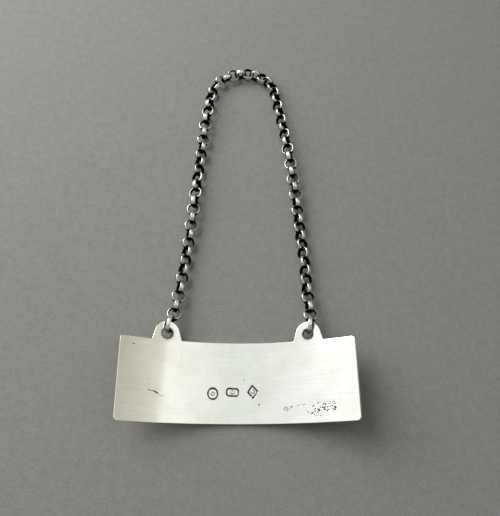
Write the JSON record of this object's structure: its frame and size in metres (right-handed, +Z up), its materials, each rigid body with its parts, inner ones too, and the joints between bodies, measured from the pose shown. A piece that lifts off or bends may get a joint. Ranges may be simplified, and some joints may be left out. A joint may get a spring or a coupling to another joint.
{
  "type": "wine label",
  "caption": "Curved oblong silver plate with pierced ears, hung by jump rings on a loop of half-round belcher chain, worn round a bottle's neck to name what is in it.",
  "frame": {"origin": "on the table, under the middle of the box of the whole as it lies laid out", "axes": "+Y from the lower edge of the label up to the far end of the loop, +X along the width of the label, +Z up from the table, out of the hollow back"},
  "size_m": [0.046, 0.0862, 0.0078],
  "materials": {
    "silver_sheet": "rolled sterling silver sheet, polished, with fine scratches and some pits",
    "silver_wire": "drawn sterling silver wire, worn bright, tarnished inside",
    "silver_chain": "half-round sterling silver wire, worn bright outside, oxidised dark inside"
  },
  "bodies": {
    "label": {"label_plate": "silver_sheet"},
    "rings": {"left_ring": "silver_wire", "right_ring": "silver_wire"},
    "row_01": {"left_link_01": "silver_chain", "right_link_01": "silver_chain"},
    "row_02": {"left_link_02": "silver_chain", "right_link_02": "silver_chain"},
    "row_03": {"left_link_03": "silver_chain", "right_link_03": "silver_chain"},
    "row_04": {"left_link_04": "silver_chain", "right_link_04": "silver_chain"},
    "row_05": {"left_link_05": "silver_chain", "right_link_05": "silver_chain"},
    "row_06": {"left_link_06": "silver_chain", "right_link_06": "silver_chain"},
    "row_07": {"left_link_07": "silver_chain", "right_link_07": "silver_chain"},
    "row_08": {"left_link_08": "silver_chain", "right_link_08": "silver_chain"},
    "row_09": {"left_link_09": "silver_chain", "right_link_09": "silver_chain"},
    "row_10": {"left_link_10": "silver_chain", "right_link_10": "silver_chain"},
    "row_11": {"left_link_11": "silver_chain", "right_link_11": "silver_chain"},
    "row_12": {"left_link_12": "silver_chain", "right_link_12": "silver_chain"},
    "row_13": {"left_link_13": "silver_chain", "right_link_13": "silver_chain"},
    "row_14": {"left_link_14": "silver_chain", "right_link_14": "silver_chain"},
    "row_15": {"left_link_15": "silver_chain", "right_link_15": "silver_chain"},
    "row_16": {"left_link_16": "silver_chain", "right_link_16": "silver_chain"},
    "row_17": {"left_link_17": "silver_chain", "right_link_17": "silver_chain"},
    "row_18": {"left_link_18": "silver_chain", "right_link_18": "silver_chain"},
    "row_19": {"left_link_19": "silver_chain", "right_link_19": "silver_chain"},
    "row_20": {"left_link_20": "silver_chain", "right_link_20": "silver_chain"},
    "row_21": {"left_link_21": "silver_chain", "right_link_21": "silver_chain"},
    "row_22": {"left_link_22": "silver_chain", "right_link_22": "silver_chain"},
    "row_23": {"left_link_23": "silver_chain", "right_link_23": "silver_chain"},
    "row_24": {"left_link_24": "silver_chain", "right_link_24": "silver_chain"},
    "row_25": {"left_link_25": "silver_chain", "right_link_25": "silver_chain"},
    "row_26": {"left_link_26": "silver_chain", "right_link_26": "silver_chain"},
    "row_27": {"left_link_27": "silver_chain", "right_link_27": "silver_chain"},
    "row_28": {"left_link_28": "silver_chain", "right_link_28": "silver_chain"},
    "crown": {"crown_links": "silver_chain"}
  },
  "joints": [
    {"name": "ring_swing", "type": "hinge", "parent": "label", "child": "rings", "pos_m": [0, -0.02404, 0.00298], "axis": [1, 0, 0], "range_deg": [-40, 90]},
    {"name": "row_01_swing", "type": "hinge", "parent": "rings", "child": "row_01", "pos_m": [0, -0.02245, 0.00262], "axis": [-1, 0, 0], "range_deg": [-10, 10]},
    {"name": "row_02_swing", "type": "hinge", "parent": "row_01", "child": "row_02", "pos_m": [0, -0.02055, 0.00221], "axis": [1, 0, 0], "range_deg": [-10, 10]},
    {"name": "row_03_swing", "type": "hinge", "parent": "row_02", "child": "row_03", "pos_m": [0, -0.01851, 0.00187], "axis": [-1, 0, 0], "range_deg": [-10, 10]},
    {"name": "row_04_swing", "type": "hinge", "parent": "row_03", "child": "row_04", "pos_m": [0, -0.01647, 0.00164], "axis": [1, 0, 0], "range_deg": [-10, 10]},
    {"name": "row_05_swing", "type": "hinge", "parent": "row_04", "child": "row_05", "pos_m": [0, -0.01441, 0.00153], "axis": [-1, 0, 0], "range_deg": [-10, 10]},
    {"name": "row_06_swing", "type": "hinge", "parent": "row_05", "child": "row_06", "pos_m": [0, -0.01235, 0.0015], "axis": [1, 0, 0], "range_deg": [-10, 10]},
    {"name": "row_07_swing", "type": "hinge", "parent": "row_06", "child": "row_07", "pos_m": [0, -0.01029, 0.0015], "axis": [-1, 0, 0], "range_deg": [-10, 10]},
    {"name": "row_08_swing", "type": "hinge", "parent": "row_07", "child": "row_08", "pos_m": [0, -0.00823, 0.0015], "axis": [1, 0, 0], "range_deg": [-10, 10]},
    {"name": "row_09_swing", "type": "hinge", "parent": "row_08", "child": "row_09", "pos_m": [0, -0.00617, 0.0015], "axis": [-1, 0, 0], "range_deg": [-10, 10]},
    {"name": "row_10_swing", "type": "hinge", "parent": "row_09", "child": "row_10", "pos_m": [0, -0.00411, 0.0015], "axis": [1, 0, 0], "range_deg": [-10, 10]},
    {"name": "row_11_swing", "type": "hinge", "parent": "row_10", "child": "row_11", "pos_m": [0, -0.00204, 0.0015], "axis": [-1, 0, 0], "range_deg": [-10, 10]},
    {"name": "row_12_swing", "type": "hinge", "parent": "row_11", "child": "row_12", "pos_m": [0, 0.00002, 0.0015], "axis": [1, 0, 0], "range_deg": [-10, 10]},
    {"name": "row_13_swing", "type": "hinge", "parent": "row_12", "child": "row_13", "pos_m": [0, 0.00208, 0.0015], "axis": [-1, 0, 0], "range_deg": [-10, 10]},
    {"name": "row_14_swing", "type": "hinge", "parent": "row_13", "child": "row_14", "pos_m": [0, 0.00414, 0.0015], "axis": [1, 0, 0], "range_deg": [-10, 10]},
    {"name": "row_15_swing", "type": "hinge", "parent": "row_14", "child": "row_15", "pos_m": [0, 0.0062, 0.0015], "axis": [-1, 0, 0], "range_deg": [-10, 10]},
    {"name": "row_16_swing", "type": "hinge", "parent": "row_15", "child": "row_16", "pos_m": [0, 0.00826, 0.0015], "axis": [1, 0, 0], "range_deg": [-10, 10]},
    {"name": "row_17_swing", "type": "hinge", "parent": "row_16", "child": "row_17", "pos_m": [0, 0.01032, 0.0015], "axis": [-1, 0, 0], "range_deg": [-10, 10]},
    {"name": "row_18_swing", "type": "hinge", "parent": "row_17", "child": "row_18", "pos_m": [0, 0.01238, 0.0015], "axis": [1, 0, 0], "range_deg": [-10, 10]},
    {"name": "row_19_swing", "type": "hinge", "parent": "row_18", "child": "row_19", "pos_m": [0, 0.01444, 0.0015], "axis": [-1, 0, 0], "range_deg": [-10, 10]},
    {"name": "row_20_swing", "type": "hinge", "parent": "row_19", "child": "row_20", "pos_m": [0, 0.0165, 0.0015], "axis": [1, 0, 0], "range_deg": [-10, 10]},
    {"name": "row_21_swing", "type": "hinge", "parent": "row_20", "child": "row_21", "pos_m": [0, 0.01857, 0.0015], "axis": [-1, 0, 0], "range_deg": [-10, 10]},
    {"name": "row_22_swing", "type": "hinge", "parent": "row_21", "child": "row_22", "pos_m": [0, 0.02063, 0.0015], "axis": [1, 0, 0], "range_deg": [-10, 10]},
    {"name": "row_23_swing", "type": "hinge", "parent": "row_22", "child": "row_23", "pos_m": [0, 0.02269, 0.0015], "axis": [-1, 0, 0], "range_deg": [-10, 10]},
    {"name": "row_24_swing", "type": "hinge", "parent": "row_23", "child": "row_24", "pos_m": [0, 0.02475, 0.0015], "axis": [1, 0, 0], "range_deg": [-10, 10]},
    {"name": "row_25_swing", "type": "hinge", "parent": "row_24", "child": "row_25", "pos_m": [0, 0.02681, 0.0015], "axis": [-1, 0, 0], "range_deg": [-10, 10]},
    {"name": "row_26_swing", "type": "hinge", "parent": "row_25", "child": "row_26", "pos_m": [0, 0.02887, 0.0015], "axis": [1, 0, 0], "range_deg": [-10, 10]},
    {"name": "row_27_swing", "type": "hinge", "parent": "row_26", "child": "row_27", "pos_m": [0, 0.03093, 0.0015], "axis": [-1, 0, 0], "range_deg": [-10, 10]},
    {"name": "row_28_swing", "type": "hinge", "parent": "row_27", "child": "row_28", "pos_m": [0, 0.03299, 0.0015], "axis": [1, 0, 0], "range_deg": [-10, 10]},
    {"name": "crown_swing", "type": "hinge", "parent": "row_28", "child": "crown", "pos_m": [0, 0.03495, 0.0015], "axis": [-1, 0, 0], "range_deg": [-10, 10]}
  ]
}
